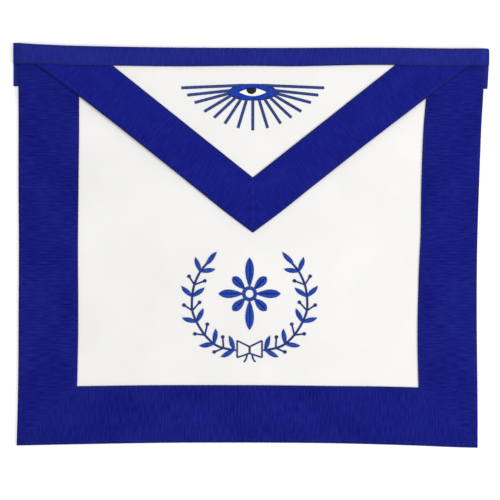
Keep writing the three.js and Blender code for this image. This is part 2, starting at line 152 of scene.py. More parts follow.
def lerp(a, b, share):
    return a + (b - a) * share


def smooth(low, high, value):
    share = min(max((value - low) / (high - low), 0), 1)
    return share * share * (3 - 2 * share)


def read(table, share, column):
    """The value of one column at a share of the way, on a smooth curve through the column's values."""
    at, values = table["at"], table[column]
    share = min(max(share, at[0]), at[-1])
    row = 0
    while row < len(at) - 2 and share > at[row + 1]:
        row += 1
    before, after = max(row - 1, 0), min(row + 2, len(at) - 1)
    a, b = values[row], values[row + 1]
    span = at[row + 1] - at[row]
    slope_a = (b - values[before]) / (at[row + 1] - at[before]) * span
    slope_b = (values[after] - a) / (at[after] - at[row]) * span
    t = (share - at[row]) / span
    curved = 2 * (a - b) + slope_a + slope_b
    bent = 3 * (b - a) - 2 * slope_a - slope_b
    return ((curved * t + bent) * t + slope_a) * t + a


def edge_line(table, straight, length):
    """Where an edge lies at any place along it: where a straight one would, and its stray added."""
    return lambda along: straight + EDGE_STRAY * read(table, along / length + 0.5, "out")


def width_line(table, ribbon, length):
    """The width of a ribbon's front leg at any place along its edge."""
    return lambda along: ribbon * read(table, along / length + 0.5, "wide")


left_x = edge_line(LEFT_EDGE, -BODY_WIDTH / 2, BODY_HEIGHT)
right_x = edge_line(RIGHT_EDGE, BODY_WIDTH / 2, BODY_HEIGHT)
bottom_y = edge_line(BOTTOM_EDGE, -BODY_HEIGHT / 2, BODY_WIDTH)
top_y = edge_line(TOP_EDGE, BODY_HEIGHT / 2, BODY_WIDTH)
left_width = width_line(LEFT_EDGE, SIDE_RIBBON, BODY_HEIGHT)
right_width = width_line(RIGHT_EDGE, SIDE_RIBBON, BODY_HEIGHT)
bottom_width = width_line(BOTTOM_EDGE, BOTTOM_RIBBON, BODY_WIDTH)
band_width = width_line(TOP_EDGE, BAND_FRONT, BODY_WIDTH)


def crossing(x_of, y_of, x, y):
    """The point where an upright edge and a level one cross."""
    for _ in range(6):
        x = x_of(y)
        y = y_of(x)
    return Vector((x, y, 0))


def inner_bottom(x):
    return bottom_y(x) + bottom_width(x)


lower_left = crossing(left_x, bottom_y, -BODY_WIDTH / 2, -BODY_HEIGHT / 2)
lower_right = crossing(right_x, bottom_y, BODY_WIDTH / 2, -BODY_HEIGHT / 2)
inner_left = crossing(lambda y: left_x(y) + left_width(y), inner_bottom, *lower_left.xy)
inner_right = crossing(lambda y: right_x(y) - right_width(y), inner_bottom, *lower_right.xy)
print("lower corners:", lower_left.xy, lower_right.xy)

# %% [markdown]
# ## Levels
# The layers of the apron lie on each other, and each takes its height from the one below. The body climbs a
# little towards the top because the back leg of the waist band lies under it. The flap lies on the panel with
# its tip and on the side ribbons with its corners, so it slopes. The pattern's origin is moved to the
# frame's, read off the band.

# %% Levels
SHEET_RISE = WALL + CLEAR + WALL
BAND_LIFT = WALL + CLEAR
LOWEST_TOP = BODY_HEIGHT / 2 - EDGE_STRAY
LOWEST_BACK = LOWEST_TOP - BAND_BACK
FLAP_TIP = LOWEST_TOP - FLAP_DEPTH
TIP_LEVEL = WALL + CLEAR
BORDER_LEVEL = BAND_LIFT + SHEET_RISE + CLEAR
FLAP_TILT = math.atan2(BORDER_LEVEL - TIP_LEVEL, LOWEST_BACK - FLAP_TIP)
TUCK_END = LOWEST_TOP - BAND_FRONT + FLAP_TUCK
FLAP_LENGTH = (TUCK_END - FLAP_TIP) / math.cos(FLAP_TILT)
BAND_RISE = TIP_LEVEL + math.sin(FLAP_TILT) * FLAP_LENGTH + math.cos(FLAP_TILT) * SHEET_RISE + CLEAR + WALL
INSIDE_BAND = BAND_RISE / 2 + WALL

band_low, band_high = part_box("waist_band")
shift = Vector((
    band_low.x / MM + BODY_WIDTH / 2 + BAND_OVERHANG - BAND_SHIFT,
    band_high.y / MM - top_y(-BODY_WIDTH / 2),
    0,
))
to_frame = Matrix.Scale(MM, 4) @ Matrix.Translation(shift)
tilt = Matrix.Rotation(FLAP_TILT, 4, "X")
flap_to_frame = to_frame @ Matrix.Translation((FLAP_SHIFT, FLAP_TIP, TIP_LEVEL)) @ tilt
print("band rise:", round(BAND_RISE, 2), "mm, shift:", shift)


def lift(y):
    """How high the body lies at this distance up the pattern, on the back leg of the band or before it."""
    return BAND_LIFT * smooth(LOWEST_BACK - RAMP, LOWEST_BACK, y)


# %% [markdown]
# ## A helper for nodes, and colours
# Shader trees and geometry trees are both built from nodes with settings and links. One small function adds a
# node, with the help of one that feeds its inputs. Colours are picked in sRGB, as on a screen, and Blender
# works in linear light, so every hex value goes through one function.

# %% Node helper and colours


def feed(tree, node, inputs):
    """Sets a node's inputs. An input is a value, or the output of another node that it is linked to."""
    for key, value in inputs.items():
        if isinstance(value, bpy.types.NodeSocket):
            tree.links.new(value, node.inputs[key])
        else:
            node.inputs[key].default_value = value


def add(tree, kind, inputs=None, **settings):
    """Adds a node with its settings and its inputs."""
    made = tree.nodes.new(kind)
    for key, value in settings.items():
        setattr(made, key, value)
    feed(tree, made, inputs or {})
    return made


def linear(hex_colour):
    """A hex colour in sRGB as linear light with full alpha."""
    parts = [int(hex_colour[i:i + 2], 16) / 255 for i in (1, 3, 5)]
    return [p / 12.92 if p <= 0.04045 else ((p + 0.055) / 1.055) ** 2.4 for p in parts] + [1]


def new_material(name):
    """An empty material with its tree, its surface shader and its output joined."""
    made = bpy.data.materials.new(name)
    made.use_nodes = True
    tree = made.node_tree
    tree.nodes.clear()
    shader = add(tree, "ShaderNodeBsdfPrincipled")
    add(tree, "ShaderNodeOutputMaterial", {"Surface": shader.outputs["BSDF"]})
    return made, tree, shader


print("mid grey in linear light:", [round(part, 3) for part in linear("#808080")])

# %% [markdown]
# ## Grosgrain ribbon
# The ribbon is woven polyester grosgrain: a fine warp runs along it and wraps a thick weft, which stands up
# as ribs across the ribbon. The ribs are real shape here, 1.45 mm apart and in pairs, because the photograph
# shows a rib every 2.9 mm. Those of real grosgrain may be finer. A number called furrow says how deep each
# point lies between the ribs, and the material paints shade there by it. The material adds what is finer:
# each rib takes the dye a little differently, and the warp yarns show as fine lines along the ribbon, 0.35 mm
# apart. Its pattern follows the piece's own UV map, which counts millimetres along and across the ribbon, so
# it turns with the ribbon. Shade is also painted along the fold and along the edge that is stitched down, by
# a number called rim, so both lines are darker and duller. The flap's and the waist band's ribbons are copies
# of the body's that are painted lighter for how the light falls on them, with less painted shade between the
# ribs.

# %% Grosgrain material
RIB_PITCH = 1.45
WARP_PITCH = 0.35
DYE_STREAK, DYE_CLOUD = 10, 45
RIM_SHADE = 0.75
# Blender's wave texture at scale 1 repeats every 2 pi / 20
WAVE_PERIOD = 2 * math.pi / 20


def grosgrain_material(name, dark, light, depth):
    """Ribbon in two dye tones. depth says how much of the shade between the ribs shows."""
    made, tree, shader = new_material(name)
    cloth_uv = add(tree, "ShaderNodeUVMap", uv_map="cloth").outputs["UV"]
    streaked = (1 / RIB_PITCH, 1 / DYE_STREAK, 1)
    per_rib = add(tree, "ShaderNodeMapping", {"Vector": cloth_uv, "Scale": streaked})
    dye = add(tree, "ShaderNodeTexNoise", {"Vector": per_rib.outputs["Vector"], "Scale": 1.0, "Detail": 2.0})
    broad = add(tree, "ShaderNodeTexNoise", {"Vector": cloth_uv, "Scale": 1 / DYE_CLOUD, "Detail": 1.0})
    both = add(tree, "ShaderNodeMath", {
        0: broad.outputs["Fac"], 1: 0.5, 2: dye.outputs["Fac"],
    }, operation="MULTIPLY_ADD")
    spread = add(tree, "ShaderNodeMapRange", {"Value": both.outputs[0], "From Min": 0.5, "From Max": 1.0})
    colour = add(tree, "ShaderNodeMix", {
        "Factor": spread.outputs["Result"], "A": linear(dark), "B": linear(light),
    }, data_type="RGBA")
    rim = add(tree, "ShaderNodeAttribute", attribute_name="rim").outputs["Fac"]
    furrow = add(tree, "ShaderNodeAttribute", attribute_name="furrow").outputs["Fac"]
    # Painted shade between the ribs: by furrow, the colour is mixed towards a dark blue.
    groove_shade = add(tree, "ShaderNodeMath", {0: furrow, 1: depth}, operation="MULTIPLY", use_clamp=True)
    ribbed = add(tree, "ShaderNodeMix", {
        "Factor": groove_shade.outputs[0], "A": colour.outputs["Result"], "B": linear("#04064e"),
    }, data_type="RGBA")
    # Painted shade along the fold and the stitched edge: by rim, the colour is mixed towards a dull dark
    # blue.
    edge_shade = add(tree, "ShaderNodeMath", {0: rim, 1: RIM_SHADE}, operation="MULTIPLY", use_clamp=True)
    edged = add(tree, "ShaderNodeMix", {
        "Factor": edge_shade.outputs[0], "A": ribbed.outputs["Result"], "B": linear("#1e1d4c"),
    }, data_type="RGBA")
    warp = add(tree, "ShaderNodeTexWave", {
        "Vector": cloth_uv, "Scale": WAVE_PERIOD / WARP_PITCH, "Distortion": 0.6, "Detail": 1.0,
    }, bands_direction="Y")
    bump = add(tree, "ShaderNodeBump", {
        "Height": warp.outputs["Fac"], "Strength": 0.35, "Distance": 0.05 * MM,
    })
    feed(tree, shader, {
        "Base Color": edged.outputs["Result"], "Normal": bump.outputs["Normal"],
        "Roughness": 0.75, "IOR": 1.5, "Specular IOR Level": 0.06,
    })
    return made


# The flap's and the band's copies are painted lighter for how the light falls on them, with less painted
# shade between their ribs.
grosgrain = grosgrain_material("woven_polyester_grosgrain", "#080e6c", "#1a2283", 0.3)
grosgrain_flap_painted_lighter = grosgrain_material("woven_polyester_grosgrain_flap_painted_lighter", "#0c1274", "#192187", 0.12)
grosgrain_band_painted_lighter = grosgrain_material("woven_polyester_grosgrain_band_painted_lighter", "#17207e", "#242d8a", 0.15)
print("ribs", RIB_PITCH, "mm apart, warp yarns", WARP_PITCH, "mm apart")

# %% [markdown]
# ## Leatherette
# The white panels are PVC leatherette: knitted cloth with a smooth white coat that was rolled with a fine
# leather grain. The grain's cells are about 0.9 mm wide and very shallow, so they only break up the gloss.
# The back is the bare knit, a little yellower, in rows about 1 mm apart. Both read Object coordinates, which
# are metres.

# %% Leatherette materials
GRAIN, MOTTLE = 0.9, 60
KNIT_PITCH = 1.0

leatherette, tree, shader = new_material("pvc_leatherette_calendered")
place = add(tree, "ShaderNodeTexCoord").outputs["Object"]
cells = add(tree, "ShaderNodeTexVoronoi", {
    "Vector": place, "Scale": 1 / (GRAIN * MM), "Smoothness": 0.6,
}, feature="SMOOTH_F1")
mottle = add(tree, "ShaderNodeTexNoise", {"Vector": place, "Scale": 1 / (MOTTLE * MM), "Detail": 3.0})
white = add(tree, "ShaderNodeMix", {
    "Factor": mottle.outputs["Fac"], "A": linear("#e2e1df"), "B": linear("#f2f1ef"),
}, data_type="RGBA")
gloss = add(tree, "ShaderNodeMapRange", {"Value": mottle.outputs["Fac"], "To Min": 0.42, "To Max": 0.56})
grain_bump = add(tree, "ShaderNodeBump", {
    "Height": cells.outputs["Distance"], "Strength": 0.25, "Distance": 0.08 * MM,
})
feed(tree, shader, {
    "Base Color": white.outputs["Result"], "Roughness": gloss.outputs["Result"],
    "Normal": grain_bump.outputs["Normal"], "IOR": 1.53,
})

backing, tree, shader = new_material("knitted_cotton_backing")
place = add(tree, "ShaderNodeTexCoord").outputs["Object"]
wales, courses = (
    add(tree, "ShaderNodeTexWave", {
        "Vector": place, "Scale": WAVE_PERIOD / (KNIT_PITCH * MM), "Distortion": 1.2,
    }, bands_direction=direction)
    for direction in "XY"
)
knit = add(tree, "ShaderNodeMath", {0: wales.outputs["Fac"], 1: courses.outputs["Fac"]}, operation="MULTIPLY")
knit_colour = add(tree, "ShaderNodeMix", {
    "Factor": knit.outputs[0], "A": linear("#dedbd2"), "B": linear("#efede6"),
}, data_type="RGBA")
knit_bump = add(tree, "ShaderNodeBump", {"Height": knit.outputs[0], "Strength": 0.6, "Distance": 0.2 * MM})
feed(tree, shader, {
    "Base Color": knit_colour.outputs["Result"], "Normal": knit_bump.outputs["Normal"], "Roughness": 0.85,
})
print("grain cells", GRAIN, "mm wide, knitted rows", KNIT_PITCH, "mm apart")

# %% [markdown]
# ## Threads
# The embroidery is rayon, which shines along the thread, and the seams are sewn with matt polyester. Every
# stitch carries a number called shade, and the material mixes two dye tones by it, as neighbouring stitches
# catch the light at different angles. A second number, dive, grows towards the stitch's two ends, where the
# thread goes down into the cloth, and shade is painted there. It gives every motif its thin dark rim.

# %% Thread materials


def thread_material(name, dark, light, sunk, roughness, specular):
    """Thread in two dye tones, with the shade that is painted on its sunk ends."""
    made, tree, shader = new_material(name)
    shade = add(tree, "ShaderNodeAttribute", attribute_name="shade").outputs["Fac"]
    tone = add(tree, "ShaderNodeMix", {
        "Factor": shade, "A": linear(dark), "B": linear(light),
    }, data_type="RGBA")
    # Painted shade at the stitch's two ends: where dive is high, the colour is mixed towards the sunk tone.
    dive = add(tree, "ShaderNodeAttribute", attribute_name="dive").outputs["Fac"]
    deep = add(tree, "ShaderNodeMapRange", {"Value": dive, "From Min": 0.55, "To Max": 0.75})
    colour = add(tree, "ShaderNodeMix", {
        "Factor": deep.outputs["Result"], "A": tone.outputs["Result"], "B": linear(sunk),
    }, data_type="RGBA")
    feed(tree, shader, {
        "Base Color": colour.outputs["Result"], "Roughness": roughness, "Specular IOR Level": specular,
    })
    return made


rayon_blue = thread_material("rayon_thread_royal_blue", "#0d3292", "#1c4bb4", "#04124e", 0.42, 0.16)
rayon_bright = thread_material("rayon_thread_bright_blue", "#092a94", "#1241b5", "#030f4a", 0.42, 0.13)
rayon_middle = thread_material("rayon_thread_middle_blue", "#233575", "#2f478b", "#0e174c", 0.42, 0.15)
rayon_dark = thread_material("rayon_thread_deep_blue", "#1a2a6e", "#263c88", "#0a123e", 0.42, 0.14)
rayon_white = thread_material("rayon_thread_white", "#f4f3ef", "#fdfdfa", "#dedcd6", 0.4, 0.3)
rayon_black = thread_material("rayon_thread_black", "#0f0d10", "#1e1b1e", "#070608", 0.45, 0.2)
seam_thread = thread_material("spun_polyester_seam_thread", "#161c70", "#2e3590", "#0a0e48", 0.7, 0.1)
print("threads:", [made.name for made in bpy.data.materials if "thread" in made.name])

# %% [markdown]
# ## Making a piece
# Every piece is shaped in the pattern's millimetres and then moved into the frame in one step, so its object
# stays at the origin. It rides on the apron's one body, takes its materials and replaces its plain solid,
# which is hidden. Only the seams have no solid to replace.

# %% Making a piece
CREASE = math.radians(60)


def new_mesh(name, bm):
    """A mesh from a bmesh, which is used up."""
    mesh = bpy.data.meshes.new(name)
    bm.to_mesh(mesh)
    bm.free()
    return mesh


def new_object(name, mesh):
    made = bpy.data.objects.new(name, mesh)
    bpy.context.scene.collection.objects.link(made)
    return made


def finish_piece(name, mesh, placing, materials, nodes):
    """Turns a mesh into an object in the frame, with its materials, on the apron's body, and hides the solids
    it replaces.
    """
    mesh.transform(placing)
    for material in materials:
        mesh.materials.append(material)
    mesh.shade_smooth()
    mesh.set_sharp_from_angle(angle=CREASE)
    made = new_object(name, mesh)
    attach(made, "root")
    if nodes:
        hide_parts(*nodes)
    mesh.calc_loop_triangles()
    print(name, len(mesh.loop_triangles), "triangles")
    return made


print("edges sharper than", round(math.degrees(CREASE)), "degrees stay sharp")

# %% [markdown]
# ## The section of a folded ribbon
# A ribbon is folded round its edge with a short leg behind and a long one in front. The section follows the
# side that shows, from the cut end behind, round the fold, to the edge that is stitched down. Its points lie
# closer together where the cloth bends.

# %% Ribbon section
RIM_WIDTH = 0.9
FOLD_STEPS = 10
UNDER_SHARES = (0, 0.12, 0.55)
OVER_SHARES = (0.04, 0.12, 0.3, 0.5, 0.7, 0.87, 0.955, 0.985, 1)


def section(under, over, rise, belly=0.5, reach=None):
    """The outer side of a folded ribbon as rows: how far in, how high, the way out as two numbers, how far
    across the cloth, and a number that is 1 at the fold and at the edge that shows, and fades between them.
    The fold is widest at a share of the rise named belly, and rolls over onto the upper leg within its
    reach."""
    radius = belly * rise
    reach = reach or radius
    rows = [(lerp(under, radius, share), 0, 0, -1) for share in UNDER_SHARES]
    for step in range(FOLD_STEPS + 1):
        turn = math.pi * step / FOLD_STEPS
        sine, cosine = math.sin(turn), math.cos(turn)
        wide, high = (radius, radius) if step <= FOLD_STEPS / 2 else (reach, rise - radius)
        rows.append((wide * (1 - sine), radius - high * cosine, -sine, -cosine))
    rows += [(lerp(reach, over, share), rise, 0, 1) for share in OVER_SHARES]
    across, made = 0, []
    for before, row in zip([rows[0]] + rows, rows):
        inward, height = row[:2]
        across += math.hypot(inward - before[0], height - before[1])
        # rim marks the fold and the edge that shows, where shade is painted on the ribbon.
        rim = math.exp(-inward / RIM_WIDTH) + math.exp((inward - over) / RIM_WIDTH) if height > radius else 0
        made.append((*row, across, rim))
    return made


print("points across a ribbon:", len(section(HEM, SIDE_RIBBON, SHEET_RISE)))

# %% [markdown]
# ## A length of ribbon
# A ribbon could be a plain strip with a rib texture, but ribs that are only painted on don't catch the light
# at the fold. So the strip is a fine grid with four rows of points to a rib, and every point is moved to its
# place on the folded section. The ribs are rounded with narrow grooves between them. solidify gives the cloth
# its thickness, and bisect_plane cuts it along the mitres, as scissors would.

# %% Ribbon strip
RIBBON_WALL = 0.7
RIB_DEPTH, RIB_ROUND = 0.16, 0.7
PAIRING = 0.4
WANDER, WANDER_ALONG, WANDER_ACROSS = 0.4, 40, 45
ROWS_PER_RIB = 4
CUT_REACH = 0.005


def waves(x, y, height, length, seed):
    """A smooth random height, up to about the given one, that changes over the given length."""
    return height * noise.noise(Vector((x / length, y / length, seed)))


def groove(along, across):
    """How deep the ribbon's face lies below the tops of its ribs, as a share of the depth of a groove. The
    ribs wander a little, and they lie in pairs, with a deeper groove between one pair and the next."""
    wander = WANDER * noise.noise(Vector((along / WANDER_ALONG, across / WANDER_ACROSS, 3)))
    turn = math.pi * (along + wander) / RIB_PITCH
    return (1 - abs(math.cos(turn)) ** RIB_ROUND) * (1 + PAIRING * math.sin(turn))


def puckers(x, y):
    """Low waves that the cloth keeps after sewing."""
    return waves(x, y, 0.16, 28, 7) + waves(x, y, 0.07, 9, 1)


def ribbon_strip(start, end, sections, place):
    """A ribbed strip from start to end. sections(along) gives the folded section there, and
    place(along, inward) the point on the pattern, how far it is raised, and how far the face that shows
    sinks into a seam. The result is one wall, without thickness."""
    rows = int((end - start) / RIB_PITCH * ROWS_PER_RIB)
    columns = len(sections(start)) - 1
    bm = bmesh.new()
    bmesh.ops.create_grid(bm, x_segments=columns, y_segments=rows, size=0.5)
    uv = bm.loops.layers.uv.new("cloth")
    rim = bm.verts.layers.float.new("rim")
    furrow = bm.verts.layers.float.new("furrow")
    spots = {}
    cache = {}
    for vert in bm.verts:
        row = round((vert.co.y + 0.5) * rows)
        if row not in cache:
            cache[row] = sections(lerp(start, end, row / rows))
        along = lerp(start, end, row / rows)
        inward, height, aside, upward, across, vert[rim] = cache[row][round((vert.co.x + 0.5) * columns)]
        vert[furrow] = groove(along, across)
        depth = RIB_DEPTH * vert[furrow]
        x, y, raised, sunk = place(along, inward - aside * depth)
        if upward > 0:
            raised += (puckers(x, y) - sunk) * upward
        vert.co = (x, y, height - upward * depth + raised)
        spots[vert] = (along, across)
    for face in bm.faces:
        for loop in face.loops:
            loop[uv].uv = spots[loop.vert]
    return bm


def cut(bm, point, direction):
    """Cuts the ribbon with an upright plane, drops the side that direction points to, and closes the end."""
    bmesh.ops.bisect_plane(
        bm, geom=bm.verts[:] + bm.edges[:] + bm.faces[:], dist=CUT_REACH,
        plane_co=point, plane_no=direction, clear_outer=True,
    )
    bmesh.ops.holes_fill(bm, edges=[edge for edge in bm.edges if edge.is_boundary], sides=0)


def thicken(bm, thickness):
    """Gives an open strip its wall, inwards from the side that shows, once its highest face looks up."""
    bm.normal_update()
    highest = max(bm.faces, key=lambda face: face.calc_center_median().z)
    if highest.normal.z < 0:
        bmesh.ops.reverse_faces(bm, faces=bm.faces[:])
    bmesh.ops.solidify(bm, geom=bm.faces[:], thickness=thickness)


print("rows along the bottom border:", int(BODY_WIDTH / RIB_PITCH * ROWS_PER_RIB))

# %% [markdown]
# ## The body's borders
# The three borders are one width of ribbon each, folded round the body's edges. Their inner edges are
# stitched down, so they dip onto the leatherette. At the lower corners they are mitred: each is cut along the
# line from the outer to the inner corner, and the two cut ends meet along it.

# %% Body borders
PRESS, PRESS_FROM, PRESS_TO = 0.5, 4.5, 0.5
PAST_HEM = 2
SINK_DEPTH, SINK_REACH = 0.32, 1.0
BODY_FOLD = dict(belly=0.4, reach=1.8)
BODY_SPARE = 1


def pressed(inward, width, amount):
    """The dip of a ribbon's free edge onto what it is stitched to."""
    return -amount * smooth(width - PRESS_FROM, width - PRESS_TO, inward)


def seam_sink(away):
    """How far the ribbons sink at this distance from the seam where two of them meet."""
    return SINK_DEPTH * math.exp(-((away / SINK_REACH) ** 2))


def mitre_sink(x, y, corner, inner):
    run = (inner - corner).normalized()
    return seam_sink((x - corner.x) * run.y - (y - corner.y) * run.x)


def left_point(along, inward):
    return left_x(along) + inward, along


def right_point(along, inward):
    return right_x(along) - inward, along


def bottom_point(along, inward):
    return along, bottom_y(along) + inward


def border(name, node, point_at, width_of, start, end, mitres):
    """A border along one edge. A mitre is its outer corner, its inner corner, and the signs of the direction
    of what is cut off there."""
    def sections(along):
        return section(HEM, width_of(along), SHEET_RISE, **BODY_FOLD)

    def place_point(along, inward):
        x, y = point_at(along, inward)
        dip = pressed(inward, width_of(along), PRESS) if inward > HEM + PAST_HEM else 0
        sink = sum(mitre_sink(x, y, corner, inner) for corner, inner, _ in mitres)
        return x, y, lift(y) + dip, sink * (1 + dip / PRESS)

    bm = ribbon_strip(start, end, sections, place_point)
    thicken(bm, RIBBON_WALL)
    for corner, inner, (sign_x, sign_y) in mitres:
        run = (inner - corner).normalized()
        cut(bm, corner, Vector((sign_x * abs(run.y), sign_y * abs(run.x), 0)))
    return finish_piece(name, new_mesh(name, bm), to_frame, [grosgrain], [node])


ribbon_left = border(
    "ribbon_left", "side_border_left", left_point, left_width,
    lower_left.y - BODY_SPARE, top_y(lower_left.x) - INSIDE_BAND, [(lower_left, inner_left, (1, -1))],
)
ribbon_right = border(
    "ribbon_right", "side_border_right", right_point, right_width,
    lower_right.y - BODY_SPARE, top_y(lower_right.x) - INSIDE_BAND, [(lower_right, inner_right, (-1, -1))],
)
ribbon_bottom = border(
    "ribbon_bottom", "bottom_border", bottom_point, bottom_width,
    lower_left.x - BODY_SPARE, lower_right.x + BODY_SPARE,
    [(lower_left, inner_left, (-1, 1)), (lower_right, inner_right, (1, 1))],
)

# %% [markdown]
# ## The waist band
# The same ribbon is folded lengthwise over the top edge. Its front leg is short and its back leg long. The
# front leg slopes up from the fold to where the flap is tucked in. It lies highest over the flap's thick
# borders, a little lower on the flap's panel, and comes down at the two ends, where it is turned in and
# closed on the back leg.

# %% Waist band
BAND_END = BODY_WIDTH / 2 + BAND_OVERHANG
BAND_PRESS = 0.45
BAND_REACH = 2.6
CLOSED_RISE = 2.6
CORNER_ROUND, ROUND_FADE = 1.6, 5
PANEL_DIP, DIP_FROM, DIP_TO = 0.7, 105, 135
SLOPE_FROM, SLOPE_TO = 9, 0.5
FRONT_FROM, FRONT_TO = 1.5, 3.5
FOLD_SLIM, SLIM_FROM, SLIM_TO = 0.2, 1, 8


def band_rise(x):
    """The band's height: lowest at the ends, and a little lower over the flap's panel than its borders."""
    middle = PANEL_DIP * (1 - smooth(DIP_FROM, DIP_TO, abs(x - FLAP_SHIFT)))
    ends = (BAND_RISE - CLOSED_RISE) * smooth(BAND_END - SLOPE_FROM, BAND_END - SLOPE_TO, abs(x - BAND_SHIFT))
    return BAND_RISE - middle - ends


def rounded(along, inward):
    """How far the fold is rounded off at the band's right end, where it is turned in."""
    into = max(along - (BAND_SHIFT + BAND_END - CORNER_ROUND), 0)
    return (CORNER_ROUND - math.sqrt(CORNER_ROUND ** 2 - into ** 2)) * (1 - smooth(0, ROUND_FADE, inward))


def waist_band():
    def sections(along):
        back = BAND_BACK * read(TOP_EDGE, along / BODY_WIDTH + 0.5, "back")
        return section(back, band_width(along), band_rise(along), reach=min(BAND_REACH, band_rise(along) / 2))

    def place_point(along, inward):
        down = inward / BAND_BACK
        across = smooth(-BODY_WIDTH / 2, BODY_WIDTH / 2, along)
        y = top_y(along) - inward - rounded(along, inward)
        return along - BAND_TAPER * across * down * down, y, 0, 0

    start, end = BAND_SHIFT - BAND_END, BAND_SHIFT + BAND_END
    bm = ribbon_strip(start, end, sections, place_point)
    for vert in bm.verts:
        front = smooth(FRONT_FROM, FRONT_TO, vert.co.z)
        inward = top_y(vert.co.x) - vert.co.y
        vert.co.z *= 1 - FOLD_SLIM * (1 - smooth(SLIM_FROM, SLIM_TO, inward))
        vert.co.z += front * pressed(inward, band_width(vert.co.x), BAND_PRESS)
    thicken(bm, RIBBON_WALL)
    mesh = new_mesh("band_ribbon", bm)
    return finish_piece("band_ribbon", mesh, to_frame, [grosgrain_band_painted_lighter], ["waist_band"])


band = waist_band()

# %% [markdown]
# ## The flap's borders
# These are the narrower ribbon, laid along the slanting edges and joined in an upright seam at the tip. The
# flap is built level, with its tip at the origin, and tilted with everything on it when it is placed.

# %% Flap borders
flap_end = Vector((FLAP_HALF, FLAP_LENGTH))
FLAP_RUN = flap_end.length
slope = flap_end / FLAP_RUN
tip_along = FLAP_RIBBON * FLAP_NARROW * slope.y / slope.x
FLAP_FOLD = dict(belly=0.36, reach=2.6)
FLAP_SPARE = 4


def flap_width(side, along):
    """The width of a flap's ribbon, which grows from the tip to the waist band."""
    top_along = FLAP_RUN - FLAP_RIBBON * FLAP_SPREAD[side] * slope.x / slope.y
    share = (along - tip_along) / (top_along - tip_along)
    return FLAP_RIBBON * lerp(FLAP_NARROW, FLAP_SPREAD[side], share)


def flap_point(side, along, inward):
    """A point of the flap, along a slanting edge from the tip and in from it."""
    table = FLAP_LEFT_EDGE if side < 0 else FLAP_RIGHT_EDGE
    stray = FLAP_STRAY * read(table, along / FLAP_RUN, "out")
    inward = lerp(-stray, flap_width(side, along), inward / FLAP_RIBBON)
    return side * (slope.x * along - slope.y * inward), slope.y * along + slope.x * inward


def flap_ribbon(name, node, side):
    def sections(along):
        return section(FLAP_HEM, FLAP_RIBBON, SHEET_RISE, **FLAP_FOLD)

    def place_point(along, inward):
        x, y = flap_point(side, along, inward)
        dip = pressed(inward, FLAP_RIBBON, PRESS) if inward > FLAP_HEM + PAST_HEM else 0
        return x, y, dip, seam_sink(x) * (1 + dip / PRESS)

    bm = ribbon_strip(-FLAP_SPARE, FLAP_RUN + FLAP_SPARE, sections, place_point)
    thicken(bm, RIBBON_WALL)
    cut(bm, Vector((0, 0, 0)), Vector((-side, 0, 0)))
    cut(bm, Vector((0, FLAP_LENGTH, 0)), Vector((0, 1, 0)))
    return finish_piece(name, new_mesh(name, bm), flap_to_frame, [grosgrain_flap_painted_lighter], [node])


flap_left = flap_ribbon("flap_ribbon_left", "flap_border_left", -1)
flap_right = flap_ribbon("flap_ribbon_right", "flap_border_right", 1)

# %% [markdown]
# ## The leatherette panels
# A panel is one grid whose points are moved to its outline, with low waves, as the coat never lies quite
# flat. solidify gives it its wall. The faces that look down get the knitted backing.

# %% Panels
PANEL_WALL = 0.9
FLAP_PANEL_RISE = 0.02
LOOKS_DOWN = -0.3


def panel(name, node, columns, rows, outline, placing):
    bm = bmesh.new()
    bmesh.ops.create_grid(bm, x_segments=columns, y_segments=rows, size=0.5)
    for vert in bm.verts:
        x, y, z = outline(vert.co.x + 0.5, vert.co.y + 0.5)
        vert.co = (x, y, z + PANEL_WALL + waves(x, y, 0.09, 55, 5) + waves(x, y, 0.04, 17, 9))
    bmesh.ops.solidify(bm, geom=bm.faces[:], thickness=PANEL_WALL)
    bmesh.ops.recalc_face_normals(bm, faces=bm.faces[:])
    bm.normal_update()
    for face in bm.faces:
        face.material_index = 1 if face.normal.z < LOOKS_DOWN else 0
    mesh = new_mesh(name, bm)
    return finish_piece(name, mesh, placing, [leatherette, backing], [node])


def body_outline(u, v):
    inset = HEM + CLEAR
    y_guess = lerp(lower_left.y, BODY_HEIGHT / 2, v)
    x = lerp(left_x(y_guess) + inset, right_x(y_guess) - inset, u)
    y = lerp(bottom_y(x) + inset, top_y(x) - INSIDE_BAND, v)
    return x, y, lift(y)


def flap_outline(u, v):
    inset = (FLAP_HEM + CLEAR) / slope.y
    blunt = (inset + FLAP_HEM) / FLAP_HALF
    share = lerp(blunt, 1, v)
    left, right = (Vector(flap_point(side, share * FLAP_RUN, 0)) for side in (-1, 1))
    left.x += inset
    right.x -= inset
    spot = left.lerp(right, u)
    return spot.x, spot.y, FLAP_PANEL_RISE


body_sheet = panel("body_leatherette", "body_panel", 150, 130, body_outline, to_frame)
flap_sheet = panel("flap_leatherette", "flap_panel", 120, 60, flap_outline, flap_to_frame)

# %% [markdown]
# ## One stitch, laid down many times
# A satin stitch is a short arch of thread. One is modelled here: a small ring of points is extruded along it
# and raised in the middle. Copying it thousands of times by hand would be slow, so Geometry Nodes puts one on
# every point of a cloud. Each point carries the stitch's turn, span, height and shade. The copies are then
# made real and joined.

# %% Stitches
STITCH_SIDES, STITCH_RINGS = 5, 6
STITCH_FOOT, STITCH_ARCH = 0.72, 0.38


